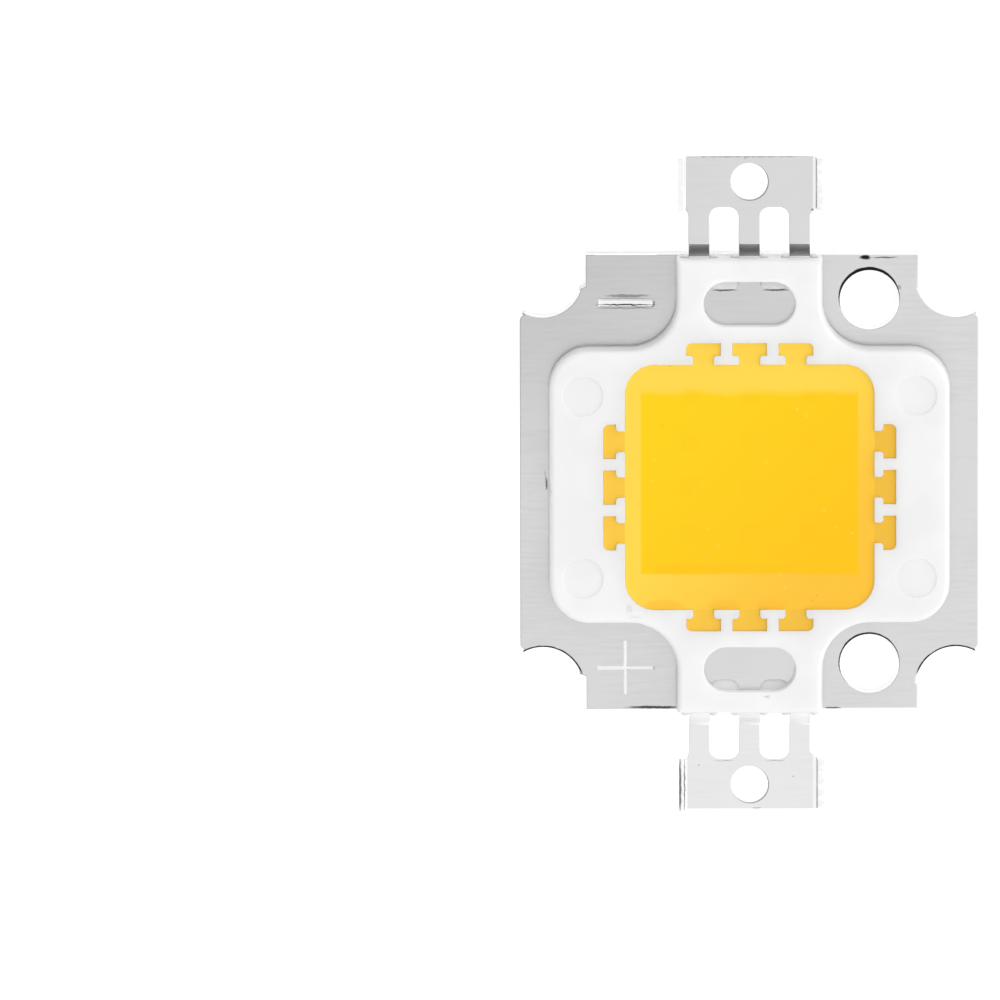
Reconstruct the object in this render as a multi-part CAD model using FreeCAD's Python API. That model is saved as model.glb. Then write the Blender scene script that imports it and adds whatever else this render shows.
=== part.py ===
import FreeCAD, Part

import math
import os

from FreeCAD import Vector

# Chip-on-board LED of the 10 W class, in millimetres.
# X runs along the row of dies, +Y points to the minus lead and Z = 0 is the back of the plate.

# Stamped base plate
plate_size = 20.0
plate_thickness = 1.2
plate_edge_bevel = 0.08
notch_radius = 1.75
notch_inset = 1.0
notch_tip_radius = 0.25
screw_hole_diameter = 2.6
screw_hole_edge_distance = 2.0
screw_hole_x = 5.23
anchor_spacing_x = 14.6
anchor_spacing_y = 8.0
anchor_diameter = 1.4

# Moulded frame
frame_height = 1.6
body_half_x = 8.72
body_half_y = 6.02
body_corner_radius = 1.75
arm_half_x = 3.18
arm_end_inset = 0.0
arm_corner_radius = 0.12
arm_fillet = 2.05
frame_draft = 0.05
frame_edge_bevel = 0.1
window_length = 4.0
window_width = 1.96
window_y = 8.02

# Cavity of the frame, with three lock pockets in each of its four walls
cavity_half_x = 5.42
cavity_half_y = 5.38
cavity_corner_radius = 1.3
pocket_count = 3
pocket_pitch = 2.01
pocket_neck_width = 0.9
pocket_neck_length = 0.4
pocket_head_width = 1.5
pocket_head_depth = 0.54
pocket_throat_bevel = 0.1
pocket_outer_corner_radius = 0.25
well_half_x = 4.75

# Leads, stamped and folded from one sheet
sheet = 0.3
lead_height = 0.9
bar_half_x = 5.0
bar_inner_y = 3.95
bar_outer_y = 4.92
finger_width = 0.75
web_inner_y = 6.9
web_outer_y = 8.58
leg_count = 3
leg_pitch = 2.19
leg_width = 0.93
gap_corner_radius = 0.42
gap_bevel = 0.3
joggle_drop = 0.5
joggle_length = 0.56
bend_radius = 0.05
leg_gap_end_y = 12.12
shoulder_y = 11.78
shoulder_radius = 0.3
tab_end_y = 14.35
wire_hole_diameter = 1.68
wire_hole_y = 13.25
wing_step = 0.165
wing_start_y = 12.04
wing_height = 0.65

# Dies, in strings that run from one lead to the other
die_rows = 3
die_columns = 3
die_side = 1.0
die_thickness = 0.15
die_pitch_x = 2.6
die_pitch_y = 2.05
die_bond_margin = 0.05
die_bond_thickness = 0.02

# Bond wires
wire_diameter = 0.04
wire_sides = 6
wire_loop_height = 0.25
wire_knee_share = 0.3
die_pad_inset = 0.15
bar_pad_inset = 0.25

# Phosphor gel
gel_below_rim = 0.08

# Levels and places that follow from these sizes
plate_half = plate_size / 2
screw_hole_pitch = plate_size - 2 * screw_hole_edge_distance
rim_z = plate_thickness + frame_height
lead_top_z = plate_thickness + lead_height
lead_bottom_z = lead_top_z - sheet
parting_z = lead_top_z - sheet / 2
tab_top_z = lead_top_z - joggle_drop
tab_bottom_z = tab_top_z - sheet
arm_end_y = plate_half - arm_end_inset
leg_outer_x = ((leg_count - 1) * leg_pitch + leg_width) / 2
finger_outer_x = ((pocket_count - 1) * pocket_pitch + finger_width) / 2
wing_inner_x = leg_outer_x + wing_step
wing_outer_half_x = wing_inner_x + sheet
die_top_z = plate_thickness + die_bond_thickness + die_thickness
gel_top_z = rim_z - gel_below_rim


def slab(x0, x1, y0, y1, z0, z1):
    """Box between two corners."""
    return Part.makeBox(x1 - x0, y1 - y0, z1 - z0, Vector(x0, y0, z0))


def disc(x, y, radius, z0, z1):
    """Upright cylinder."""
    return Part.makeCylinder(radius, z1 - z0, Vector(x, y, z0))


def centred(count, pitch):
    """Places of a row of things, centred on zero."""
    return [(index - (count - 1) / 2) * pitch for index in range(count)]


def rounded_wire(corners, z):
    """Closed outline at height z through corners (x, y, radius), with a tangent arc in each."""
    arcs = []
    for index, (x, y, radius) in enumerate(corners):
        before = corners[index - 1]
        after = corners[(index + 1) % len(corners)]
        corner = Vector(x, y, z)
        back = (Vector(before[0], before[1], z) - corner).normalize()
        ahead = (Vector(after[0], after[1], z) - corner).normalize()
        half_angle = back.getAngle(ahead) / 2
        setback = radius / math.tan(half_angle)
        inward = (back + ahead).normalize()
        middle = corner + inward * (radius / math.sin(half_angle) - radius)
        arcs.append((corner + back * setback, middle, corner + ahead * setback))
    edges = []
    for index, (start, middle, end) in enumerate(arcs):
        following = arcs[(index + 1) % len(arcs)][0]
        if not start.isEqual(end, 1e-6):
            edges.append(Part.Arc(start, middle, end).toShape())
        if not end.isEqual(following, 1e-6):
            edges.append(Part.makeLine(end, following))
    return Part.Wire(edges)


def prism(corners, z0, z1):
    """Upright solid with a rounded outline."""
    return Part.Face(rounded_wire(corners, z0)).extrude(Vector(0, 0, z1 - z0))


def rectangle(half_x, y0, y1, radius):
    """Corners of a rectangle that is centred on X = 0."""
    return [(half_x, y0, radius), (half_x, y1, radius), (-half_x, y1, radius), (-half_x, y0, radius)]


def turned(corners, quarters):
    """Corners turned about the origin by quarter turns."""
    for _ in range(quarters):
        corners = [(-y, x, radius) for x, y, radius in corners]
    return corners


def opposite(shape):
    """The same shape at the plus end, half a turn about Z."""
    other = shape.copy()
    other.rotate(Vector(0, 0, 0), Vector(0, 0, 1), 180)
    return other


def level_edges(shape, z):
    """Edges that lie in the horizontal plane at z."""
    return [e for e in shape.Edges if abs(e.BoundBox.ZMin - z) < 1e-6 and abs(e.BoundBox.ZMax - z) < 1e-6]


def anchor_places():
    """The four places where the frame grips the plate."""
    return [(x, y) for x in centred(2, anchor_spacing_x) for y in centred(2, anchor_spacing_y)]


# Leads

def joggled_sheet():
    """Sheet as wide as the lead, level in the frame and stepped down outside it."""
    slope = math.atan2(joggle_drop, joggle_length)
    outer_radius = bend_radius + sheet
    upper_bend_y = arm_end_y + outer_radius * math.tan(slope / 2)
    lower_bend_y = arm_end_y + joggle_length
    half_x = max(bar_half_x, wing_outer_half_x)
    thickness_shift = sheet * math.tan(slope / 2)
    profile = [
        (bar_inner_y, lead_top_z),
        (upper_bend_y, lead_top_z),
        (lower_bend_y, tab_top_z),
        (tab_end_y, tab_top_z),
        (tab_end_y, tab_bottom_z),
        (lower_bend_y - thickness_shift, tab_bottom_z),
        (upper_bend_y - thickness_shift, lead_bottom_z),
        (bar_inner_y, lead_bottom_z),
    ]
    points = [Vector(-half_x, y, z) for y, z in profile]
    band = Part.Face(Part.makePolygon(points + points[:1])).extrude(Vector(2 * half_x, 0, 0))
    bends = [
        (points[1], outer_radius),
        (points[2], bend_radius),
        (points[5], outer_radius),
        (points[6], bend_radius),
    ]
    for place, radius in bends:
        edge = [e for e in band.Edges if e.distToShape(Part.Vertex(place + Vector(half_x, 0, 0)))[0] < 1e-6]
        band = band.makeFillet(radius, edge)
    return band


def lead_pattern():
    """Outline of the lead seen from above, with its slots and its wire hole, as an upright solid."""
    half = [
        (bar_half_x, bar_inner_y, 0),
        (bar_half_x, bar_outer_y, 0),
        (finger_outer_x, bar_outer_y, 0),
        (finger_outer_x, web_inner_y, 0),
        (leg_outer_x, web_inner_y, 0),
        (leg_outer_x, shoulder_y, shoulder_radius),
        (wing_inner_x, shoulder_y + shoulder_radius, 0),
        (wing_inner_x, tab_end_y, 0),
    ]
    outline = half + [(-x, y, radius) for x, y, radius in reversed(half)]
    pattern = prism(outline, 0, rim_z)
    half_finger_gap = (pocket_pitch - finger_width) / 2
    half_leg_gap = (leg_pitch - leg_width) / 2
    finger_gap = [
        (half_finger_gap, bar_outer_y + gap_bevel, 0),
        (half_finger_gap, web_inner_y, 0),
        (-half_finger_gap, web_inner_y, 0),
        (-half_finger_gap, bar_outer_y + gap_bevel, 0),
        (gap_bevel - half_finger_gap, bar_outer_y, 0),
        (half_finger_gap - gap_bevel, bar_outer_y, 0),
    ]
    leg_gap = [
        (half_leg_gap, web_outer_y + gap_bevel, 0),
        (half_leg_gap, leg_gap_end_y, gap_corner_radius),
        (-half_leg_gap, leg_gap_end_y, gap_corner_radius),
        (-half_leg_gap, web_outer_y + gap_bevel, 0),
        (gap_bevel - half_leg_gap, web_outer_y, 0),
        (half_leg_gap - gap_bevel, web_outer_y, 0),
    ]
    cuts = [disc(0, wire_hole_y, wire_hole_diameter / 2, 0, rim_z)]
    for corners, places in (
        (finger_gap, centred(pocket_count - 1, pocket_pitch)),
        (leg_gap, centred(leg_count - 1, leg_pitch)),
    ):
        for x in places:
            slot = prism(corners, 0, rim_z)
            slot.translate(Vector(x, 0, 0))
            cuts.append(slot)
    return pattern.cut(cuts)


def terminal():
    """The minus lead, with its two wings folded up along the sides of the tab."""
    lead = joggled_sheet().common(lead_pattern())
    for side in (1, -1):
        x0, x1 = sorted((side * wing_inner_x, side * wing_outer_half_x))
        lead = lead.fuse(slab(x0, x1, wing_start_y, tab_end_y, tab_bottom_z, tab_top_z + wing_height))
    lead = lead.removeSplitter()
    for x, z, radius in (
        (wing_outer_half_x, tab_bottom_z, bend_radius + sheet),
        (wing_inner_x, tab_top_z, bend_radius),
    ):
        folds = []
        for side in (1, -1):
            probe = Part.Vertex(Vector(side * x, (wing_start_y + tab_end_y) / 2, z))
            folds += [e for e in lead.Edges if e.distToShape(probe)[0] < 1e-6]
        lead = lead.makeFillet(radius, folds)
    return lead


# Base plate

def corner_notch():
    """Solid that cuts the screw notch out of the corner at +X +Y."""
    centre = plate_half - notch_inset
    round_part = disc(centre, centre, notch_radius, 0, plate_thickness)
    straight_part = slab(centre - notch_radius, plate_half, centre, plate_half, 0, plate_thickness)
    return round_part.fuse(straight_part)


def rimmed_hole(x, y):
    """Solid that cuts a screw hole with a bevelled upper edge."""
    radius = screw_hole_diameter / 2
    hole = disc(x, y, radius, 0, plate_thickness)
    low_rim = Vector(x, y, plate_thickness - plate_edge_bevel)
    rim = Part.makeCone(radius, radius + plate_edge_bevel, plate_edge_bevel, low_rim)
    return hole.fuse(rim)


def anchor(x, y):
    """Plug of plastic that fills its hole in the plate, flush with the back."""
    return disc(x, y, anchor_diameter / 2, 0, plate_thickness)


def base_plate():
    """Square plate with four corner notches, two screw holes and four anchor holes."""
    plate = slab(-plate_half, plate_half, -plate_half, plate_half, 0, plate_thickness)
    notch = corner_notch()
    for mirror_x in (False, True):
        for mirror_y in (False, True):
            cutter = notch.mirror(Vector(), Vector(1, 0, 0)) if mirror_x else notch
            cutter = cutter.mirror(Vector(), Vector(0, 1, 0)) if mirror_y else cutter
            plate = plate.cut(cutter)
    tips = [
        e
        for e in plate.Edges
        if e.BoundBox.ZLength > plate_thickness / 2
        and abs(abs(e.CenterOfMass.x) - plate_half) < 1e-6
    ]
    plate = plate.makeFillet(notch_tip_radius, tips)
    plate = plate.makeChamfer(plate_edge_bevel, level_edges(plate, plate_thickness))
    holes = [rimmed_hole(screw_hole_x, y) for y in centred(2, screw_hole_pitch)]
    anchors = [anchor(x, y) for x, y in anchor_places()]
    return plate.cut(holes + anchors)


# Moulded frame

def frame_outline(inset, z):
    """Outline of the body and its two arms, drawn in by the inset."""
    body_x = body_half_x - inset
    body_y = body_half_y - inset
    arm_x = arm_half_x - inset
    arm_y = arm_end_y - inset
    quarter = [
        (body_x, body_y, body_corner_radius - inset),
        (arm_x, body_y, arm_fillet + inset),
        (arm_x, arm_y, arm_corner_radius),
    ]
    upper = quarter + [(-x, y, radius) for x, y, radius in reversed(quarter)]
    lower = [(-x, -y, radius) for x, y, radius in upper]
    return rounded_wire(upper + lower, z)


def cavity_side(half, other_half):
    """Corners of the cavity's upper wall, from right to left, with its lock pockets."""
    neck_end = half + pocket_neck_length
    head_end = neck_end + pocket_head_depth
    corners = [(other_half, half, cavity_corner_radius)]
    places = sorted(centred(pocket_count, pocket_pitch), reverse=True)
    for index, x in enumerate(places):
        right_radius = pocket_outer_corner_radius if index == 0 else 0
        left_radius = pocket_outer_corner_radius if index == pocket_count - 1 else 0
        neck = pocket_neck_width / 2
        head = pocket_head_width / 2
        corners += [
            (x + neck, half, 0),
            (x + neck, neck_end - pocket_throat_bevel, 0),
            (x + neck + pocket_throat_bevel, neck_end, 0),
            (x + head, neck_end, 0),
            (x + head, head_end, right_radius),
            (x - head, head_end, left_radius),
            (x - head, neck_end, 0),
            (x - neck - pocket_throat_bevel, neck_end, 0),
            (x - neck, neck_end - pocket_throat_bevel, 0),
            (x - neck, half, 0),
        ]
    return corners


def cavity_corners():
    """Corners of the whole cavity opening, with the lock pockets of its four walls."""
    corners = []
    for quarters in range(4):
        half, other_half = (cavity_half_y, cavity_half_x) if quarters % 2 == 0 else (cavity_half_x, cavity_half_y)
        corners += turned(cavity_side(half, other_half), quarters)
    return corners


def cavity():
    """Space inside the frame: the opening with its pockets, the pits beside the fingers and the well."""
    opening = prism(cavity_corners(), lead_top_z, rim_z)
    plain = prism(
        rectangle(cavity_half_x, -cavity_half_y, cavity_half_y, cavity_corner_radius), lead_bottom_z, lead_top_z
    )
    pits = plain.common(
        slab(-well_half_x, well_half_x, -cavity_half_y, cavity_half_y, lead_bottom_z, lead_top_z)
    )
    well = slab(-well_half_x, well_half_x, -bar_inner_y, bar_inner_y, plate_thickness, lead_bottom_z)
    return opening.fuse([pits, well])


def window(y):
    """Oval window down to the lead."""
    radius = window_width / 2
    corners = rectangle(window_length / 2, y - radius, y + radius, radius * 0.999)
    return prism(corners, lead_top_z, rim_z)


def frame(leads):
    """White moulding around both leads, gripped by the plate through its four anchors."""
    lower = Part.Face(frame_outline(0, plate_thickness)).extrude(Vector(0, 0, parting_z - plate_thickness))
    upper = Part.makeLoft([frame_outline(0, parting_z), frame_outline(frame_draft, rim_z)], True, True)
    moulding = lower.fuse(upper)
    moulding = moulding.makeChamfer(frame_edge_bevel, level_edges(moulding, rim_z))
    moulding = moulding.cut([cavity(), window(window_y), window(-window_y)])
    moulding = moulding.fuse([anchor(x, y) for x, y in anchor_places()])
    return moulding.cut(leads)


# Dies and bond wires

def die_places():
    """Name suffix and centre of each die, by string and by place from the minus lead."""
    places = {}
    for string, x in enumerate(centred(die_columns, die_pitch_x), 1):
        for place, y in enumerate(sorted(centred(die_rows, die_pitch_y), reverse=True), 1):
            places[string, place] = (x, y)
    return places


def die_bond(x, y):
    """Thin square of silver paste under a die."""
    half = die_side / 2 + die_bond_margin
    return slab(x - half, x + half, y - half, y + half, plate_thickness, plate_thickness + die_bond_thickness)


def die(x, y):
    """Square emitter die."""
    half = die_side / 2
    return slab(x - half, x + half, y - half, y + half, plate_thickness + die_bond_thickness, die_top_z)


def bond_wire(x, y0, z0, y1, z1):
    """Gold wire that rises from one pad, bends at a knee and slopes down to the next."""
    start = Vector(x, y0, z0)
    end = Vector(x, y1, z1)
    loop_z = max(z0, z1) + wire_loop_height
    knee = Vector(x, y0 + (y1 - y0) * wire_knee_share, loop_z)
    overrun = end + (end - knee).normalize() * wire_diameter
    path = Part.makePolygon([start, Vector(x, y0, loop_z), knee, overrun])
    turns = [2 * math.pi * corner / wire_sides for corner in range(wire_sides)]
    section = [start + Vector(math.cos(turn), math.sin(turn), 0) * wire_diameter / 2 for turn in turns]
    section_wire = Part.makePolygon(section + section[:1])
    mitred = 1
    wire = path.makePipeShell([section_wire], True, False, mitred)
    half_x = wire_diameter
    half_y = 3 * wire_diameter
    return wire.cut(slab(x - half_x, x + half_x, y1 - half_y, y1 + half_y, z1 - wire_loop_height, z1))


def bond_wires():
    """All wires by name: each string runs from the minus bar over its dies to the plus bar."""
    wires = {}
    places = die_places()
    reach = die_side / 2 - die_pad_inset
    for string in range(1, die_columns + 1):
        x = places[string, 1][0]
        pads = [(bar_inner_y + bar_pad_inset, lead_top_z)]
        for place in range(1, die_rows + 1):
            y = places[string, place][1]
            pads += [(y + reach, die_top_z), (y - reach, die_top_z)]
        pads.append((-bar_inner_y - bar_pad_inset, lead_top_z))
        for hop in range(die_rows + 1):
            start, end = pads[2 * hop : 2 * hop + 2]
            wires[f"bond_wire_{string}_{hop + 1}"] = bond_wire(x, *start, *end)
    return wires


# Whole part

def build():
    """All pieces by name."""
    minus_terminal = terminal()
    plus_terminal = opposite(minus_terminal)
    pieces = {
        "base_plate": base_plate(),
        "frame": frame([minus_terminal, plus_terminal]),
        "minus_terminal": minus_terminal,
        "plus_terminal": plus_terminal,
    }
    inner = {}
    for (string, place), (x, y) in die_places().items():
        inner[f"die_bond_{string}_{place}"] = die_bond(x, y)
        inner[f"led_die_{string}_{place}"] = die(x, y)
    inner.update(bond_wires())
    pieces.update(inner)
    above_gel = slab(-plate_half, plate_half, -plate_half, plate_half, gel_top_z, rim_z)
    gel = cavity().cut([above_gel, minus_terminal, plus_terminal] + list(inner.values()))
    pieces["phosphor_gel"] = gel
    return pieces


os.makedirs("parts", exist_ok=True)
for name, shape in build().items():
    shape.Solids[0].exportStep(f"parts/{name}.step")
    print(name, len(shape.Solids), "solid", round(shape.Volume, 4), "mm3", "valid" if shape.isValid() else "NOT VALID")
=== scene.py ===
import math

import bmesh
import bpy
from mathutils import Matrix, Vector, noise

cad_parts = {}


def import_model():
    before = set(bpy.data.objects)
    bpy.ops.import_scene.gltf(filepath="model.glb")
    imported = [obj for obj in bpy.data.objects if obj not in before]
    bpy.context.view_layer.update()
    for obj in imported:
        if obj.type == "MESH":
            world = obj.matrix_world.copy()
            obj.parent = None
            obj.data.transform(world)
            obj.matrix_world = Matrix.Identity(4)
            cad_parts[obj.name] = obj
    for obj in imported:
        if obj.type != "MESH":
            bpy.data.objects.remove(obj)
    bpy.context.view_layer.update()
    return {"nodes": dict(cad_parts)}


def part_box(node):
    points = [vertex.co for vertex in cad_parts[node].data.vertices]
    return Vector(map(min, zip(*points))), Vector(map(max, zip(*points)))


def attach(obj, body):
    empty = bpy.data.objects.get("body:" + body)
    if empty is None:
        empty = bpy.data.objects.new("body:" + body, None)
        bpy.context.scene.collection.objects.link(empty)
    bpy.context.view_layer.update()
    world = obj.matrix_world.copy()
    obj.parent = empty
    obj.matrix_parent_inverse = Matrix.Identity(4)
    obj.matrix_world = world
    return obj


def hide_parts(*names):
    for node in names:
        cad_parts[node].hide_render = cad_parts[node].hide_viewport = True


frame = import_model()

# Pieces and marks are laid out in millimetres, and each mesh is scaled to metres at its end.
MM = 0.001

# Levels and reaches: those read from a box are the solids' own
plate_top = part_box("base_plate")[1].z / MM
rim_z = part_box("frame")[1].z / MM
gel_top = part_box("phosphor_gel")[1].z / MM
wing_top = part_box("minus_terminal")[1].z / MM
plate_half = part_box("base_plate")[1].x / MM
tab_end_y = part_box("minus_terminal")[1].y / MM
sheet = 0.3
lead_top = plate_top + 0.9
lead_bottom = lead_top - sheet
tab_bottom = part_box("minus_terminal")[0].z / MM

# Base plate
notch_centre = plate_half - 1.0
notch_radius = 1.75
notch_tip_radius = 0.25
notch_steps = 18
# Half width of the plate's two ends at the left and at the right
straight_side = {-1: 7.12, 1: 7.36}
punch_nub = 0.06
# How far inwards of its centre each notch's arc ends, by corner
punch_drop = {(-1, 1): 0.56, (-1, -1): 0.62, (1, 1): 0.5, (1, -1): 0.15}
plate_edge_radius = 0.07
screw_places = [(5.23, 8.0), (5.23, -8.0)]
screw_hole_radius = 1.3
screw_rim_radius = 0.05
anchor_places = [(x, y) for x in (-7.3, 7.3) for y in (-4.0, 4.0)]
anchor_radius = 0.7
# Painted dark reflections on the lower notch and screw-hole rims: how far they reach, and the screw-hole
# shifts
notch_dark_reflection_reach = 0.08
screw_dark_reflection_reach = 0.035
screw_dark_reflection_shifts = [(-0.015, 0.12), (-0.015, 0.06)]

# Stamped polarity signs, with how far their walls lean in
sign_depth = 0.1
sign_span = (-6.7, -4.05)
minus_box = (-6.635, -4.105, 7.67, 8.08)
minus_radius = 0.17
minus_lean = 0.13
plus_centre = (-5.4, -8.17)
plus_reach = (1.265, 1.225)
plus_half = 0.1
plus_tip_radius = 0.09
plus_inner_radius = 0.03
plus_lean = 0.075

# Frame
body_half_x = 8.72
body_half_y = 6.02
body_corner_radius = 1.75
arm_half_x = 3.18
arm_end_y = 10.0
arm_corner_radius = 0.12
arm_fillet = 2.05
frame_draft = 0.05
frame_edge_radius = 0.2
parting_z = lead_top - sheet / 2
window_half_x = 2.0
window_radius = 0.98
window_y = 8.02
ejector_places = [(x, y) for x in (-7.25, 7.25) for y in (-4.0, 4.0)]
ejector_radius = 0.87
ejector_depth = 0.06

# Cavity
cavity_half_x = 5.42
cavity_half_y = 5.38
cavity_corner_radius = 1.3
pocket_pitch = 2.01
neck_half = 0.45
neck_length = 0.4
head_half = 0.75
head_depth = 0.54
throat_bevel = 0.1
pocket_corner_radius = 0.25
well_half_x = 4.75

# Leads
bar_half_x = 5.0
bar_inner_y = 3.95
bar_outer_y = 4.92
finger_width = 0.75
web_inner_y = 6.9
web_outer_y = 8.58
leg_pitch = 2.19
leg_width = 0.93
leg_gap_end_y = 12.12
gap_radius = 0.42
gap_bevel = 0.3
shoulder_y = 11.78
shoulder_radius = 0.3
wire_hole_y = 13.25
wire_hole_radius = 0.8
wing_outer_x = 3.12
wing_start_y = 12.04
bend_radius = 0.06
lead_edge_radius = 0.035
# How far each wing is pushed out and how ragged its sheared edge is
wing_edges = {
    "minus_lead": {-1: (0.0, 0.012), 1: (0.1, 0.05)},
    "plus_lead": {-1: (0.13, 0.05), 1: (-0.04, 0.012)},
}
joggle_length = 0.56
joggle_softness = 0.08
wing_row = 0.09
wing_inner_x = wing_outer_x - sheet
tab_middle = tab_bottom + sheet / 2
fold_radius = bend_radius + sheet / 2
fold_x = wing_inner_x - bend_radius
flat_wing_x = fold_x + fold_radius * math.pi / 2 + wing_top - tab_middle - fold_radius

# Flash beside the legs and the plastic lips in the upper window
flash_reach = 0.62
flash_radii = (0.2, 0.17, 0.12)
lip_half_x = 0.58
lip_y = web_outer_y + 0.03
lip_length = 0.5
lip_height = 0.08
lip_corner_radius = 0.22

# Gel: how its surface climbs the walls, and where the deep colour over the dies ends
gel_climb = 0.05
deep_left = -4.73
deep_right = 4.71
deep_top = (3.95, 4.4)
deep_bottom = (-3.76, -3.88)
die_pitch = (2.6, 2.0)
die_half = 0.4

# Camera: the photograph looks down from the plus-Y side, tilted off the vertical
view_tilt = math.radians(8.15)
view_pan = math.radians(0.11)
view_roll = math.radians(-0.13)
view_distance = 900.0
pixels_per_mm = 22.96
picture_pixels = 1000
aim_point = (-10.86, -0.76, plate_top)

# Marks of wear, making and painted light and shade: x, y, half of their size each way, and how strong they
# are
# Painted dark reflections along the plate's edges and in the minus sign, and a painted shadow by the
# frame's left wall
plate_dark_reflections_and_shade = [
    (5.04, 9.86, 0.22, 0.1, 1.0),
    (5.9, 9.86, 0.52, 0.03, 0.8),
    (-4.17, -9.9, 1.07, 0.06, 0.9),
    (3.64, -9.94, 0.35, 0.04, 0.8),
    (-8.83, -0.05, 0.05, 0.25, 0.7),
    (-8.9, 0.3, 0.02, 0.25, 0.4),
    (-5.3, 8.2, 0.85, 0.07, 0.5),
    (-5.37, 7.8, 1.15, 0.03, 0.95),
    (-5.37, 7.65, 1.2, 0.015, 0.7),
    (-5.37, 8.08, 1.2, 0.015, 0.5),
    (6.5, 8.55, 0.12, 0.1, 0.35),
]
# Stains and sheared edges, and painted shade along the lip edges, gap ends, arm's lower end and wing starts
lead_stains_and_shade = [
    (0.3, -14.3, 0.18, 0.03, 0.4),
    (0, 14.35, 2.75, 0.03, 0.6),
    (0, -10.28, 3.0, 0.22, 0.12),
    (-1.08, 8.56, 0.5, 0.03, 0.8),
    (1.14, 8.56, 0.5, 0.04, 0.9),
    (-1.1, -12.21, 0.4, 0.015, 0.5),
    (1.1, -12.21, 0.4, 0.015, 0.5),
    (-3.04, -13.2, 0.06, 1.15, 0.8),
    (-2.84, -13.2, 0.03, 1.15, 0.7),
    (-0.17, 14.3, 0.06, 0.06, 0.3),
    (-2.77, 12.0, 0.07, 0.05, 0.5),
    (2.74, 12.02, 0.07, 0.05, 0.6),
    (-2.2, -12.4, 0.03, 0.03, 0.5),
    (1.9, -12.9, 0.03, 0.03, 0.4),
]
# Smudges, and a painted shade line along the frame's left wall
frame_smudges_and_shade = [
    (-5.25, -5.35, 0.12, 0.2, 0.35),
    (-5.0, -5.7, 0.25, 0.08, 0.3),
    (-4.85, -6.05, 0.2, 0.12, 0.3),
    (-8.66, -0.1, 0.03, 0.3, 0.5),
    (0.73, -9.2, 0.13, 0.04, 0.9),
]
# Painted highlights on the plastic lips in the upper window
lip_painted_highlights = [(side * leg_pitch / 2, 8.8, 0.6, 0.3, 1.0) for side in (-1, 1)]
pale_specks = [
    (-4.16, 1.17, 0.05, 0.05, 0.4), (-4.25, 0.29, 0.05, 0.05, 0.35), (0.71, 1.08, 0.05, 0.05, 0.35),
    (2.06, 3.41, 0.06, 0.06, 0.4), (2.5, 3.11, 0.06, 0.06, 0.35), (-0.98, 4.03, 0.05, 0.05, 0.35),
    (-1.81, -1.82, 0.05, 0.05, 0.35), (-1.37, -2.57, 0.05, 0.05, 0.35), (3.24, -1.03, 0.06, 0.06, 0.35),
    (3.76, -1.78, 0.05, 0.05, 0.35), (1.28, -3.84, 0.06, 0.05, 0.4), (1.54, -4.42, 0.05, 0.05, 0.4),
    (4.46, -2.04, 0.05, 0.05, 0.35),
]
dark_specks = [
    (-3.46, 5.31, 0.06, 0.04, 0.6), (-2.59, -0.15, 0.04, 0.04, 0.5), (2.93, -4.77, 0.05, 0.05, 0.6),
    (2.72, -4.99, 0.05, 0.05, 0.6), (-3.81, 2.71, 0.04, 0.04, 0.5),
]
band_patches = [
    (-3.75, -5.2, 0.8, 0.24, 0.6), (-1.09, -5.2, 0.72, 0.24, 0.6), (0.95, -5.2, 0.63, 0.24, 0.6),
    (3.61, -5.2, 0.76, 0.24, 0.6),
]
# Light: the lamp's place and size are in metres, and the floor glows to the camera and in reflections
key_place = (0.28, -0.25, 0.6)
key_size = 0.5
key_power = 0.3
floor_seen = 0.55
floor_mirrored = 0.85

# How fine the meshes are
arc_step = math.radians(9)
edge_steps = 4
fold_steps = 6


# Outlines and solids

def rounded(corners, inset=0.0):
    """Points of an anticlockwise outline through corners (x, y, radius), drawn in by the inset."""
    points = []
    for index, (x, y, radius) in enumerate(corners):
        here = Vector((x, y))
        to_here = (here - Vector(corners[index - 1][:2])).normalized()
        onward = (Vector(corners[(index + 1) % len(corners)][:2]) - here).normalized()
        turn = math.atan2(to_here.cross(onward), to_here.dot(onward))
        left = Vector((-to_here.y, to_here.x))
        both = left + Vector((-onward.y, onward.x))
        corner = here + both * (inset / (1 + math.cos(turn)))
        if radius == 0:
            points.append(corner)
            continue
        side = math.copysign(1, turn)
        bend = max(radius - side * inset, 0.01)
        start = corner - to_here * bend * math.tan(abs(turn) / 2)
        centre = start + left * bend * side
        steps = max(2, round(abs(turn) / arc_step))
        for step in range(steps + 1):
            points.append(centre + Matrix.Rotation(turn * step / steps, 2) @ (start - centre))
    return [p for index, p in enumerate(points) if (p - points[index - 1]).length > 1e-4]


def rectangle(x0, x1, y0, y1, radius=0.0):
    """Corners of a rectangle."""
    return [(x0, y0, radius), (x1, y0, radius), (x1, y1, radius), (x0, y1, radius)]


def circle(x, y, radius):
    """Corners whose rounded outline is a circle."""
    return rectangle(x - radius, x + radius, y - radius, y + radius, radius)


def wall_profile(z0, z1, low_radius, high_radius, side=1):
    """Insets and heights up a wall with rounded lower and upper edges. The side is -1 for a hole."""
    turns = [math.pi / 2 * step / edge_steps for step in range(edge_steps + 1)]
    lower = [(low_radius * (1 - math.sin(t)), z0 + low_radius * (1 - math.cos(t))) for t in turns]
    upper = [(high_radius * (1 - math.cos(t)), z1 - high_radius * (1 - math.sin(t))) for t in turns]
    if low_radius == 0:
        lower = lower[:1]
    if high_radius == 0:
        upper = upper[:1]
    return [(side * inset, z) for inset, z in lower + upper]


def ring(bm, points, z):
    """Loop of vertices at one height."""
    return [bm.verts.new((x, y, z)) for x, y in points]


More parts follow.
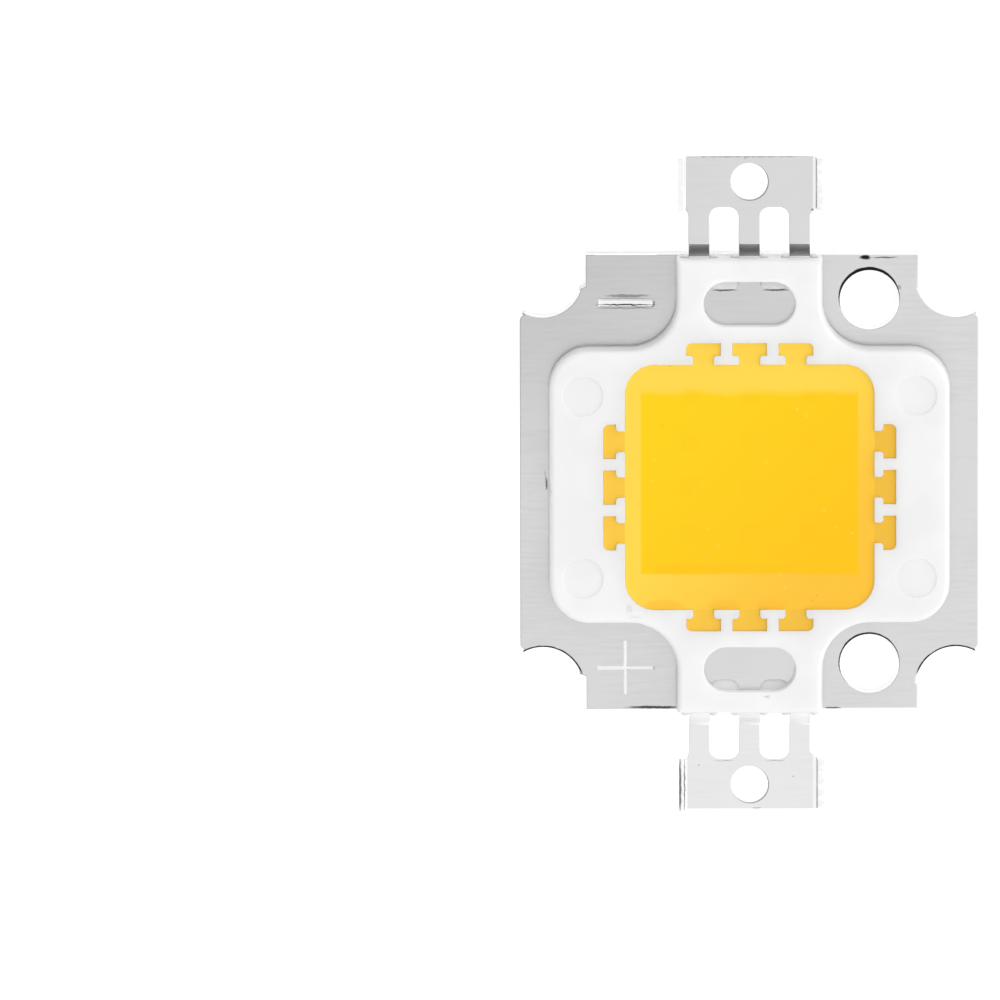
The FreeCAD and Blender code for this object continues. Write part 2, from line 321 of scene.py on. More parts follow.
def walls(bm, corners, profile):
    """Wall of a rounded outline that follows insets and heights. Its first and last loops are returned."""
    rings = [ring(bm, rounded(corners, inset), z) for inset, z in profile]
    for low, high in zip(rings, rings[1:]):
        for index in range(len(low)):
            bm.faces.new((low[index - 1], low[index], high[index], high[index - 1]))
    return rings[0], rings[-1]


def cap(bm, rings):
    """Level face with holes between loops."""
    edges = []
    for loop in rings:
        for index, vertex in enumerate(loop):
            pair = (loop[index - 1], vertex)
            edges.append(bm.edges.get(pair) or bm.edges.new(pair))
    bmesh.ops.triangle_fill(bm, use_beauty=True, edges=edges, normal=(0, 0, 1))


def piece(bm, name, node_name, material):
    """Object made from the mesh in place of a solid, smooth apart from its level faces."""
    bmesh.ops.recalc_face_normals(bm, faces=bm.faces)
    mesh = bpy.data.meshes.new(name)
    bm.to_mesh(mesh)
    bm.free()
    for face in mesh.polygons:
        face.use_smooth = abs(face.normal.z) < 0.999
    mesh.transform(Matrix.Scale(MM, 4))
    made = bpy.data.objects.new(name, mesh)
    bpy.context.scene.collection.objects.link(made)
    mesh.materials.append(material)
    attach(made, "root")
    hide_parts(node_name)
    return made


# Material nodes

def node(tree, kind, inputs=None, **settings):
    """Shader node with its settings and inputs. An input is a value or another node's output."""
    made = tree.nodes.new("ShaderNode" + kind)
    for key, value in settings.items():
        setattr(made, key, value)
    for key, value in (inputs or {}).items():
        if isinstance(value, bpy.types.NodeSocket):
            tree.links.new(value, made.inputs[key])
        else:
            made.inputs[key].default_value = value
    return made


def calc(tree, operation, *values):
    """Result of a sum on numbers or outputs."""
    return node(tree, "Math", dict(enumerate(values)), operation=operation).outputs[0]


def soft_step(tree, value, start, end):
    """Smooth rise from 0 at the start to 1 at the end."""
    inputs = {"Value": value, "From Min": start, "From Max": end}
    return node(tree, "MapRange", inputs, interpolation_type="SMOOTHSTEP").outputs["Result"]


def blend(tree, share, first, second):
    """Colour between two colours."""
    made = node(tree, "Mix", {"Factor": share}, data_type="RGBA")
    for socket, value in ((made.inputs[6], first), (made.inputs[7], second)):
        if isinstance(value, bpy.types.NodeSocket):
            tree.links.new(value, socket)
        else:
            socket.default_value = (*value, 1)
    return made.outputs[2]


def grain(tree, place, scale, detail=3.0, rough=0.5):
    """Noise between 0 and 1, with its scale in waves a millimetre."""
    inputs = {"Vector": place, "Scale": scale, "Detail": detail, "Roughness": rough}
    return node(tree, "TexNoise", inputs).outputs["Fac"]


def new_material(name):
    """Material with its tree, its shader and the place in millimetres as a vector and as x, y and z."""
    material = bpy.data.materials.new(name)
    material.use_nodes = True
    tree = material.node_tree
    shader = tree.nodes["Principled BSDF"]
    coordinates = node(tree, "TexCoord")
    inputs = {0: coordinates.outputs["Object"], "Scale": 1 / MM}
    place = node(tree, "VectorMath", inputs, operation="SCALE").outputs[0]
    split = node(tree, "SeparateXYZ", {0: place})
    return material, tree, shader, place, split.outputs


def bump(tree, shader, height, depth):
    """Relief of the surface, with its depth in millimetres."""
    made = node(tree, "Bump", {"Height": height, "Distance": depth * MM, "Strength": 1.0})
    tree.links.new(made.outputs["Normal"], shader.inputs["Normal"])


def spots(tree, place, marks, edge=0.35):
    """How strong the marks (x, y, half x, half y, strength) are at a place. They fade over their edge."""
    found = None
    for x, y, half_x, half_y, strength in marks:
        shifted = node(tree, "VectorMath", {0: place, 1: (x, y, 0)}, operation="SUBTRACT").outputs[0]
        inputs = {0: shifted, 1: (1 / half_x, 1 / half_y, 0)}
        stretched = node(tree, "VectorMath", inputs, operation="MULTIPLY").outputs[0]
        distance = node(tree, "VectorMath", {0: stretched}, operation="LENGTH").outputs["Value"]
        mark = calc(tree, "MULTIPLY", soft_step(tree, distance, 1 + edge, 1 - edge), strength)
        found = mark if found is None else calc(tree, "MAXIMUM", found, mark)
    return found


def ragged(tree, place, reach, scale):
    """The place, shifted unevenly so that the edges of marks are uneven."""
    inputs = {"Vector": place, "Scale": scale, "Detail": 2.0}
    wobble = node(tree, "TexNoise", inputs).outputs["Color"]
    centred = node(tree, "VectorMath", {0: wobble, 1: (0.5, 0.5, 0.5)}, operation="SUBTRACT").outputs[0]
    shift = node(tree, "VectorMath", {0: centred, "Scale": reach}, operation="SCALE").outputs[0]
    return node(tree, "VectorMath", {0: place, 1: shift}, operation="ADD").outputs[0]


def streaks(tree, place, along, across):
    """Fine noise drawn out along X."""
    stretched = node(tree, "VectorMath", {0: place, 1: (along, across, 1)}, operation="MULTIPLY").outputs[0]
    return grain(tree, stretched, 1.0, 4, 0.65)


def plated_metal(name, painted_light_greys, span, roughness, streaked):
    """Satin silver plating with fine pits, cloudy stains and rolling streaks of a given strength.
    Its grey goes from one shade to the other over a span from far left to near right, as painted light and
    shade."""
    material, tree, shader, place, split = new_material(name)
    slope = calc(tree, "SUBTRACT", calc(tree, "MULTIPLY", split[0], 0.6), split[1])
    far, near = [(shade, shade, shade) for shade in painted_light_greys]
    # Painted light and shade: the grey runs from darker far left to lighter near right
    tone = blend(tree, soft_step(tree, slope, *span), far, near)
    clouds = grain(tree, place, 0.35, 4)
    drawn = streaks(tree, place, 0.5, 6)
    pits = grain(tree, place, 14, 2, 0.7)
    shade = calc(tree, "ADD", calc(tree, "MULTIPLY", clouds, 0.5), calc(tree, "MULTIPLY", drawn, 0.5))
    stain_and_window_shade = calc(tree, "MULTIPLY", soft_step(tree, shade, 0.58, 0.38), streaked)
    colour = blend(tree, stain_and_window_shade, tone, (0.35, 0.35, 0.35))
    shader.inputs["Metallic"].default_value = 1.0
    gloss = calc(tree, "MULTIPLY_ADD", pits, 0.08, roughness - 0.04)
    tree.links.new(gloss, shader.inputs["Roughness"])
    bump(tree, shader, calc(tree, "MULTIPLY_ADD", pits, 0.3, drawn), 0.008 * streaked)
    return material, tree, shader, place, split, colour


def round_edge(tree, place, centre, radius):
    """1 inside a circle that is seen from above."""
    shifted = node(tree, "VectorMath", {0: place, 1: (*centre, 0)}, operation="SUBTRACT").outputs[0]
    level = node(tree, "VectorMath", {0: shifted, 1: (1, 1, 0)}, operation="MULTIPLY").outputs[0]
    distance = node(tree, "VectorMath", {0: level}, operation="LENGTH").outputs["Value"]
    return soft_step(tree, distance, radius + 0.01, radius - 0.02)


def plate_metal():
    """Plating of the base plate: a painted highlight in the stamped signs, and painted dark reflections and
    shade at the screw-hole and lower notch rims and along edges.
    """
    made = plated_metal("plated copper", (0.59, 0.7), (-14, -5), 0.2, 0.1)
    material, tree, shader, place, (x, y, z), colour = made
    # Painted highlight: the stamped signs' walls and floor are coloured near white
    sign_highlight = soft_step(tree, z, plate_top - 0.01, plate_top - 0.03)
    for limit in (
        soft_step(tree, z, plate_top - 2 * sign_depth, plate_top - sign_depth),
        soft_step(tree, x, sign_span[0] - 0.05, sign_span[0]),
        soft_step(tree, x, sign_span[1] + 0.05, sign_span[1]),
    ):
        sign_highlight = calc(tree, "MULTIPLY", sign_highlight, limit)
    colour = blend(tree, sign_highlight, colour, (0.93, 0.93, 0.93))
    uneven = ragged(tree, place, 0.05, 3)
    # Painted dark reflections: black crescents on the screw-hole rims and lower notch arcs, and the listed
    # edge lines
    rims = [(cx + dx, cy + dy) for (cx, cy), (dx, dy) in zip(screw_places, screw_dark_reflection_shifts)]
    dark_reflections_and_shade = [round_edge(tree, uneven, centre, screw_hole_radius + screw_dark_reflection_reach) for centre in rims]
    for side in (-1, 1):
        arc = round_edge(tree, uneven, (side * notch_centre, -notch_centre), notch_radius + notch_dark_reflection_reach)
        dark_reflections_and_shade.append(calc(tree, "MULTIPLY", arc, soft_step(tree, y, -8.6, -8.2)))
    dark_reflections_and_shade.append(spots(tree, ragged(tree, place, 0.1, 4), plate_dark_reflections_and_shade))
    burr_and_painted_dark = dark_reflections_and_shade[0]
    for other in dark_reflections_and_shade[1:]:
        burr_and_painted_dark = calc(tree, "MAXIMUM", burr_and_painted_dark, other)
    burr_and_painted_dark = calc(tree, "MULTIPLY", burr_and_painted_dark, soft_step(tree, z, plate_top - 0.35, plate_top - 0.1))
    colour = blend(tree, burr_and_painted_dark, colour, (0.01, 0.01, 0.01))
    tree.links.new(colour, shader.inputs["Base Color"])
    shader.inputs["Metallic"].default_value = 0.85
    return material


def lead_metal():
    """Plating of the leads, with painted shade in the frame's windows, a painted highlight on the sheared
    wings, and stains and painted shade along edges and wire-hole rims.
    """
    made = plated_metal("plated lead", (0.71, 0.82), (-14, 9), 0.2, 0.05)
    material, tree, shader, place, (x, y, _), colour = made
    # Painted shade: the leads are darkened where they lie in the frame's windows
    window_shade_mask = soft_step(tree, calc(tree, "ABSOLUTE", y), arm_end_y, arm_end_y - 0.1)
    stain_and_window_shade = blend(tree, soft_step(tree, y, 1, -1), (0.88, 0.88, 0.88), (0.86, 0.86, 0.86))
    stain_and_window_shade = node(tree, "VectorMath", {0: colour, 1: stain_and_window_shade}, operation="MULTIPLY").outputs[0]
    colour = blend(tree, window_shade_mask, colour, stain_and_window_shade)
    # Painted highlight: the folded wings are coloured near white
    wing_highlight = soft_step(tree, calc(tree, "ABSOLUTE", x), wing_inner_x - 0.1, wing_inner_x)
    colour = blend(tree, wing_highlight, colour, (0.95, 0.95, 0.95))
    # Stains and painted shade along edges, and a painted dark reflection at each wire hole's rim
    stains_and_edge_shade = spots(tree, ragged(tree, place, 0.1, 4), lead_stains_and_shade)
    for end in (-1, 1):
        rim = round_edge(tree, place, (0.03, end * wire_hole_y - 0.02), wire_hole_radius + 0.03)
        stains_and_edge_shade = calc(tree, "MAXIMUM", stains_and_edge_shade, calc(tree, "MULTIPLY", rim, 0.5))
    colour = blend(tree, stains_and_edge_shade, colour, (0.02, 0.02, 0.02))
    tree.links.new(colour, shader.inputs["Base Color"])
    return material


def white_plastic():
    """Moulded white resin with a fine satin surface, faint flow marks, a few smudges, a painted shade line
    at its left wall and painted highlights on the window lips.
    """
    material, tree, shader, place, _ = new_material("white plastic")
    flow = grain(tree, place, 0.5, 3)
    fine = grain(tree, place, 9, 3, 0.6)
    colour = blend(tree, soft_step(tree, flow, 0.35, 0.65), (0.87, 0.87, 0.87), (0.9, 0.9, 0.9))
    # Smudges, and painted shade along the frame's left wall
    smudges_and_shade = spots(tree, ragged(tree, place, 0.3, 6), frame_smudges_and_shade, 0.6)
    colour = blend(tree, smudges_and_shade, colour, (0.6, 0.6, 0.6))
    # Painted highlight: the window lips are coloured pure white
    colour = blend(tree, spots(tree, place, lip_painted_highlights), colour, (1, 1, 1))
    tree.links.new(colour, shader.inputs["Base Color"])
    shader.inputs["Subsurface Weight"].default_value = 0.7
    shader.inputs["Subsurface Radius"].default_value = (1, 1, 1)
    shader.inputs["Subsurface Scale"].default_value = 0.5 * MM
    gloss = calc(tree, "MULTIPLY_ADD", fine, 0.2, 0.35)
    tree.links.new(gloss, shader.inputs["Roughness"])
    bump(tree, shader, fine, 0.004)
    return material


def near_places(tree, value, pitch, half):
    """1 near each place of a row that is centred on zero."""
    nearest = calc(tree, "MULTIPLY", calc(tree, "ROUND", calc(tree, "DIVIDE", value, pitch)), pitch)
    offset = calc(tree, "ABSOLUTE", calc(tree, "SUBTRACT", value, nearest))
    return soft_step(tree, offset, half * 1.3, half * 0.7)


def phosphor():
    """Silicone with phosphor: deep orange over the dies, paler over the bars and ledges around them."""
    material, tree, shader, place, (x, y, _) = new_material("phosphor gel")
    wave = calc(tree, "MULTIPLY", calc(tree, "SUBTRACT", grain(tree, place, 0.8, 3), 0.5), 0.5)
    slope = calc(tree, "ADD", calc(tree, "SUBTRACT", x, y), wave)
    well = blend(tree, soft_step(tree, slope, -8, 9), (1.0, 0.635, 0.0), (1.0, 0.555, 0.0))
    columns = near_places(tree, x, die_pitch[0], die_half)
    dies = calc(tree, "MULTIPLY", columns, near_places(tree, y, die_pitch[1], die_half))
    well = blend(tree, calc(tree, "MULTIPLY", dies, 0.12), well, (0.97, 0.5, 0.0))
    across = calc(tree, "ABSOLUTE", x)
    # Deeper gel and painted shade in a strip along the bottom bar's inner edge
    deep_gel_and_shade = calc(tree, "MULTIPLY", soft_step(tree, y, -3.3, -3.5), soft_step(tree, across, 4.3, 3.9))
    well = blend(tree, calc(tree, "MULTIPLY", deep_gel_and_shade, 0.7), well, (1.0, 0.55, 0.0))
    top = soft_step(tree, calc(tree, "ADD", y, wave), *deep_top)
    bottom = soft_step(tree, calc(tree, "MULTIPLY_ADD", wave, 0.4, y), *deep_bottom)
    left = soft_step(tree, x, deep_left + 0.05, deep_left - 0.05)
    right = soft_step(tree, x, deep_right - 0.05, deep_right + 0.05)
    pale = blend(tree, soft_step(tree, slope, -2, 7), (1.0, 0.675, 0.066), (0.98, 0.55, 0.036))
    band = calc(tree, "MAXIMUM", calc(tree, "MAXIMUM", top, bottom), calc(tree, "MAXIMUM", left, right))
    colour = blend(tree, band, well, pale)
    patches = spots(tree, ragged(tree, place, 0.15, 2), band_patches, 0.25)
    colour = blend(tree, patches, colour, (0.97, 0.52, 0.03))
    along = calc(tree, "ABSOLUTE", y)
    beyond_x = soft_step(tree, across, cavity_half_x - 0.02, cavity_half_x + 0.03)
    beyond_y = soft_step(tree, along, cavity_half_y - 0.02, cavity_half_y + 0.03)
    pocket = blend(tree, soft_step(tree, x, -5, 5), (0.94, 0.575, 0.055), (0.88, 0.51, 0.045))
    pocket = blend(tree, soft_step(tree, y, 4, 5), pocket, (0.99, 0.65, 0.065))
    colour = blend(tree, calc(tree, "MAXIMUM", beyond_x, beyond_y), colour, pocket)
    colour = blend(tree, spots(tree, place, pale_specks, 0.5), colour, (1.0, 0.76, 0.15))
    colour = blend(tree, spots(tree, place, dark_specks, 0.5), colour, (0.8, 0.42, 0.01))
    tree.links.new(colour, shader.inputs["Base Color"])
    shader.inputs["Specular IOR Level"].default_value = 0.22
    gloss = calc(tree, "MULTIPLY_ADD", grain(tree, place, 3, 2), 0.15, 0.42)
    tree.links.new(gloss, shader.inputs["Roughness"])
    bump(tree, shader, grain(tree, place, 1.2, 3), 0.01)
    return material


def die_crystal():
    """Blue emitter crystal with a fine grid of electrodes."""
    material, tree, shader, place, (x, y, _) = new_material("emitter")
    lines = calc(tree, "PINGPONG", calc(tree, "ADD", x, y), 0.11)
    colour = blend(tree, soft_step(tree, lines, 0.01, 0.02), (0.7, 0.6, 0.35), (0.2, 0.28, 0.42))
    tree.links.new(colour, shader.inputs["Base Color"])
    shader.inputs["Roughness"].default_value = 0.2
    return material


def simple_metal(name, tone, darker, scale):
    """Small metal piece with a fine grain."""
    material, tree, shader, place, _ = new_material(name)
    colour = blend(tree, grain(tree, place, scale), darker, tone)
    tree.links.new(colour, shader.inputs["Base Color"])
    shader.inputs["Metallic"].default_value = 1.0
    shader.inputs["Roughness"].default_value = 0.3
    return material


# Base plate

def notch_corners(side_x, side_y):
    """Corners round one quarter of the plate's outline, from its X side to its Y side."""
    wide = plate_half - notch_centre
    reach = math.sqrt(notch_radius ** 2 - wide ** 2)
    start = math.atan2(-reach, wide)
    drop = punch_drop[side_x, side_y]
    end = math.asin(drop / notch_radius) - math.pi
    arc = []
    for step in range(notch_steps + 1):
        angle = start + (end - start) * step / notch_steps
        px = notch_centre + notch_radius * math.cos(angle)
        py = notch_centre + notch_radius * math.sin(angle)
        arc.append((px, py, 0))
    arc[0] = (plate_half, notch_centre - reach, notch_tip_radius)
    straight = straight_side[side_x]
    low = notch_centre - drop
    corners = arc + [(arc[-1][0] + punch_nub, low + 0.04, 0)]
    corners += [(straight, low + 0.18, 0), (straight, plate_half, 0)]
    corners = [(side_x * px, side_y * py, radius) for px, py, radius in corners]
    return corners if side_x * side_y > 0 else corners[::-1]


def plate_outline():
    """Outline of the square plate with its four corner notches."""
    corners = []
    for side_x, side_y in ((1, 1), (-1, 1), (-1, -1), (1, -1)):
        corners += notch_corners(side_x, side_y)
    return corners


def minus_sign():
    """Outline of the stamped minus sign."""
    return rectangle(*minus_box, minus_radius)


def plus_sign():
    """Outline of the stamped plus sign."""
    x, y = plus_centre
    long_x, long_y = plus_reach
    half_sign = [
        (long_x, -plus_half, plus_tip_radius),
        (long_x, plus_half, plus_tip_radius),
        (plus_half, plus_half, plus_inner_radius),
        (plus_half, long_y, plus_tip_radius),
        (-plus_half, long_y, plus_tip_radius),
        (-plus_half, plus_half, plus_inner_radius),
    ]
    sign = half_sign + [(-px, -py, radius) for px, py, radius in half_sign]
    return [(x + px, y + py, radius) for px, py, radius in sign]


def base_plate():
    """Stamped plate with its notches, screw holes, anchor holes and polarity signs."""
    bm = bmesh.new()
    bottoms, tops = [], []
    low, high = walls(bm, plate_outline(), wall_profile(0, plate_top, 0.03, plate_edge_radius))
    bottoms.append(low)
    tops.append(high)
    for x, y in screw_places:
        profile = wall_profile(0, plate_top, 0.03, screw_rim_radius, -1)
        low, high = walls(bm, circle(x, y, screw_hole_radius), profile)
        bottoms.append(low)
        tops.append(high)
    for x, y in anchor_places:
        low, high = walls(bm, circle(x, y, anchor_radius), wall_profile(0, plate_top, 0.02, 0.02, -1))
        bottoms.append(low)
        tops.append(high)
    for corners, inset in ((minus_sign(), minus_lean), (plus_sign(), plus_lean)):
        profile = [
            (inset, plate_top - sign_depth),
            (inset * 0.6, plate_top - sign_depth * 0.8),
            (inset * 0.2, plate_top - sign_depth * 0.3),
            (0, plate_top),
        ]
        low, high = walls(bm, corners, profile)
        cap(bm, [low])
        tops.append(high)
    cap(bm, bottoms)
    cap(bm, tops)
    return piece(bm, "stamped_plate", "base_plate", plate_metal())


# Frame

def body_outline():
    """Corners of the frame's body and its two arms."""
    quarter = [
        (arm_half_x, arm_end_y, arm_corner_radius),
        (arm_half_x, body_half_y, arm_fillet),
        (body_half_x, body_half_y, body_corner_radius),
    ]
    right = [(x, -y, radius) for x, y, radius in quarter] + quarter[::-1]
    return right + [(-x, -y, radius) for x, y, radius in right]


def cavity_wall(half, other_half):
    """Corners of the cavity's upper wall from right to left, with its three lock pockets."""
    neck_end = half + neck_length
    head_end = neck_end + head_depth
    corners = [(other_half, half, cavity_corner_radius)]
    for index in (1, 0, -1):
        x = index * pocket_pitch
        right = pocket_corner_radius if index == 1 else 0
        left = pocket_corner_radius if index == -1 else 0
        corners += [
            (x + neck_half, half, 0),
            (x + neck_half, neck_end - throat_bevel, 0),
            (x + neck_half + throat_bevel, neck_end, 0),
            (x + head_half, neck_end, 0),
            (x + head_half, head_end, right),
            (x - head_half, head_end, left),
            (x - head_half, neck_end, 0),
            (x - neck_half - throat_bevel, neck_end, 0),
            (x - neck_half, neck_end - throat_bevel, 0),
            (x - neck_half, half, 0),
        ]
    return corners


def cavity_outline():
    """Corners of the cavity with the lock pockets of its four walls."""
    corners = []
    for quarter in range(4):
        halves = (cavity_half_y, cavity_half_x) if quarter % 2 == 0 else (cavity_half_x, cavity_half_y)
        side = cavity_wall(*halves)
        for _ in range(quarter):
            side = [(-y, x, radius) for x, y, radius in side]
        corners += side
    return corners


def window_outline(y):
    """Corners of the oval window."""
    return rectangle(-window_half_x, window_half_x, y - window_radius, y + window_radius, window_radius)


def moulded_frame():
    """White moulding with its cavity, lock pockets, windows, ejector marks, anchors, lips and flash."""
    bm = bmesh.new()
    floor_z = lead_top - 0.02
    shoulder = wall_profile(parting_z, rim_z, 0, frame_edge_radius)
    rise = rim_z - frame_edge_radius - parting_z
    outer = [(0, plate_top), (0, parting_z)]
    outer += [(inset + frame_draft * min(1, (z - parting_z) / rise), z) for inset, z in shoulder[1:]]
    low, high = walls(bm, body_outline(), outer)
    bottoms, tops = [low], [high]
    well = rectangle(-well_half_x, well_half_x, -bar_inner_y, bar_inner_y)
    low, well_top = walls(bm, well, [(0, plate_top), (0, floor_z)])
    bottoms.append(low)
    floor, high = walls(bm, cavity_outline(), wall_profile(floor_z, rim_z, 0, 0.03, -1))
    tops.append(high)
    cap(bm, [well_top, floor])
    for y in (window_y, -window_y):
        floor, high = walls(bm, window_outline(y), wall_profile(floor_z, rim_z, 0, 0.06, -1))
        cap(bm, [floor])
        tops.append(high)
    for x, y in ejector_places:
        profile = wall_profile(rim_z - ejector_depth, rim_z, 0, 0.03, -1)
        floor, high = walls(bm, circle(x, y, ejector_radius), profile)
        cap(bm, [floor])
        tops.append(high)
    cap(bm, bottoms)
    cap(bm, tops)
    for x, y in anchor_places:
        low, high = walls(bm, circle(x, y, anchor_radius), wall_profile(0, plate_top, 0.02, 0))
        cap(bm, [low])
        cap(bm, [high])
    for end in (1, -1):
        for leg in (-leg_pitch, 0, leg_pitch):
            for side in (-1, 1):
                place = Matrix.Translation((leg + side * flash_reach, end * arm_end_y, lead_top - 0.1))
                size = Matrix.Diagonal((*flash_radii, 1))
                bmesh.ops.create_uvsphere(bm, u_segments=16, v_segments=10, radius=1, matrix=place @ size)
    for x in (-leg_pitch / 2, leg_pitch / 2):
        lip = rectangle(x - lip_half_x, x + lip_half_x, lip_y, lip_y + lip_length, lip_corner_radius)
        _, high = walls(bm, lip, wall_profile(lead_top - 0.03, lead_top + lip_height, 0, 0.03))
        cap(bm, [high])
    return piece(bm, "moulded_frame", "frame", white_plastic())


# Leads

def lead_outline():
    """Corners of the flat lead before its tab is stepped down and its wings are folded up."""
    finger_outer_x = pocket_pitch + finger_width / 2
    leg_outer_x = leg_pitch + leg_width / 2
    half = [
        (bar_half_x, bar_inner_y, 0),
        (bar_half_x, bar_outer_y, 0),
        (finger_outer_x, bar_outer_y, 0),
        (finger_outer_x, web_inner_y, 0),
        (leg_outer_x, web_inner_y, 0),
        (leg_outer_x, shoulder_y, shoulder_radius),
        (fold_x, wing_start_y, 0.02),
        (flat_wing_x, wing_start_y, 0.05),
        (flat_wing_x, tab_end_y, 0.08),
    ]
    return half + [(-x, y, radius) for x, y, radius in reversed(half)]


def lead_slots():
    """Outlines of the slots between fingers and legs and of the wire hole."""
    slots = [circle(0, wire_hole_y, wire_hole_radius)]
    half_finger = (pocket_pitch - finger_width) / 2
    half_leg = (leg_pitch - leg_width) / 2
    for side in (-0.5, 0.5):
        x = side * pocket_pitch
        slots.append(
            [
                (x - half_finger, bar_outer_y + gap_bevel, 0),
                (x - half_finger + gap_bevel, bar_outer_y, 0),
                (x + half_finger - gap_bevel, bar_outer_y, 0),
                (x + half_finger, bar_outer_y + gap_bevel, 0),
                (x + half_finger, web_inner_y, 0),
                (x - half_finger, web_inner_y, 0),
            ]
        )
        x = side * leg_pitch
        slots.append(rectangle(x - half_leg, x + half_leg, web_outer_y, leg_gap_end_y, gap_radius))
    return slots


def joggle(y):
    """Height of the sheet's underside, level in the frame and stepped down outside it."""
    share = (y - arm_end_y) / joggle_length
    soft = joggle_softness
    points = [(-soft, 0.0), (soft, soft / 2), (1 - soft, 1 - soft / 2), (1 + soft, 1.0)]
    if share <= points[0][0]:
        drop = 0.0
    elif share >= points[-1][0]:
        drop = 1.0
    elif share < points[1][0]:
        drop = (share - points[0][0]) ** 2 / (4 * soft)
    elif share > points[2][0]:
        drop = 1 - (points[3][0] - share) ** 2 / (4 * soft)
    else:
        drop = share
    return lead_bottom + (tab_bottom - lead_bottom) * drop


def fold(vertex, edges):
    """Folds the flat sheet's wings up, with their shift and ragged edge, and steps its tab down."""
    side = math.copysign(1, vertex.co.x)
    shift, rough = edges[side]
    pushed = shift * min(1, max(0, (abs(vertex.co.x) - fold_x + 0.1) / 0.1))
    beyond = abs(vertex.co.x) - fold_x
    height = vertex.co.z - sheet / 2
    base = joggle(vertex.co.y) + sheet / 2
    if beyond <= 0 or vertex.co.y < shoulder_y:
        vertex.co.z = base + height
        vertex.co.x += side * pushed if vertex.co.y >= shoulder_y else 0
        return
    angle = min(beyond / fold_radius, math.pi / 2)
    straight = max(0, beyond - fold_radius * math.pi / 2)
    if straight > rough:
        burr_and_painted_dark = noise.noise(Vector((side * 3, vertex.co.y * 4, height * 2)))
        straight += rough * (burr_and_painted_dark - 0.5)
        if height < 0:
            height -= rough * max(0, noise.noise(Vector((side * 9, vertex.co.y * 5, 0))) + 0.4)
    out = fold_x + (fold_radius - height) * math.sin(angle) + pushed
    up = fold_radius * (1 - math.cos(angle)) + straight + height * math.cos(angle)
    vertex.co.x = side * out
    vertex.co.z = base + up


def lead(name, node_name, material, quarters):
    """Stamped and folded lead with three legs, a wire hole and two wings, turned by quarter turns."""
    bm = bmesh.new()
    low, high = walls(bm, lead_outline(), wall_profile(0, sheet, 0.02, lead_edge_radius))
    bottoms, tops = [low], [high]
    for corners in lead_slots():
        low, high = walls(bm, corners, wall_profile(0, sheet, 0.02, lead_edge_radius, -1))
        bottoms.append(low)
        tops.append(high)
    cap(bm, bottoms)
    cap(bm, tops)
    shares = (-0.1, -0.04, 0.02, 0.08, 0.5, 0.92, 0.98, 1.04, 1.1)
    cuts = [((0, arm_end_y + joggle_length * share, 0), (0, 1, 0)) for share in shares]
    for step in range(fold_steps + 1):
        x = fold_x + fold_radius * math.pi / 2 * step / fold_steps
        cuts += [((x, 0, 0), (1, 0, 0)), ((-x, 0, 0), (1, 0, 0))]
    rows = round((tab_end_y - wing_start_y) / wing_row)
    cuts += [((0, wing_start_y + wing_row * row, 0), (0, 1, 0)) for row in range(1, rows)]
    for place, direction in cuts:
        everything = bm.verts[:] + bm.edges[:] + bm.faces[:]
        bmesh.ops.bisect_plane(bm, geom=everything, plane_co=place, plane_no=direction)
    for vertex in bm.verts:
        fold(vertex, wing_edges[name])
    bmesh.ops.rotate(bm, verts=bm.verts, matrix=Matrix.Rotation(math.pi * quarters / 2, 3, "Z"))
    return piece(bm, name, node_name, material)


# Phosphor gel

def gel():
    """Gel that fills the cavity and climbs a little at its walls."""
    bm = bmesh.new()
    profile = [(0.0, lead_top - 0.01), (0.0, gel_top - 0.1), (0.004, gel_top)]
    for reach in (0.03, 0.07, 0.13, 0.2):
        profile.append((reach, gel_top - gel_climb * (1 - math.exp(-reach / 0.06))))
    low, high = walls(bm, cavity_outline(), profile)
    cap(bm, [low])
    cap(bm, [high])
    return piece(bm, "gel_fill", "phosphor_gel", phosphor())


# Studio

def world():
    """White backdrop and soft light, weaker from the left. Reflections show a dark band low down."""
    made = bpy.data.worlds.new("studio")
    bpy.context.scene.world = made
    made.use_nodes = True
    tree = made.node_tree
    background = tree.nodes["Background"]
    way = node(tree, "SeparateXYZ", {0: node(tree, "TexCoord").outputs["Generated"]}).outputs
    side = blend(tree, soft_step(tree, way[0], -0.9, 0.5), (0.62, 0.62, 0.62), (1.27, 1.27, 1.27))
    above = blend(tree, soft_step(tree, way[2], 0.5, 0.95), side, (0.96, 0.96, 0.96))
    band = calc(tree, "MULTIPLY", soft_step(tree, way[2], 0.42, 0.3), soft_step(tree, way[2], 0.02, 0.12))
    sides = calc(tree, "MULTIPLY", soft_step(tree, way[0], 0.8, 0.3), soft_step(tree, way[1], -0.8, -0.3))
    mirrored = node(tree, "LightPath").outputs["Is Glossy Ray"]
    dark = calc(tree, "MULTIPLY", calc(tree, "MULTIPLY", band, sides), mirrored)
    above = blend(tree, dark, above, (0.02, 0.02, 0.02))
    seen = node(tree, "LightPath").outputs["Is Camera Ray"]
    colour = blend(tree, seen, above, (1, 1, 1))
    tree.links.new(colour, background.inputs["Color"])
    background.inputs["Strength"].default_value = 1.0


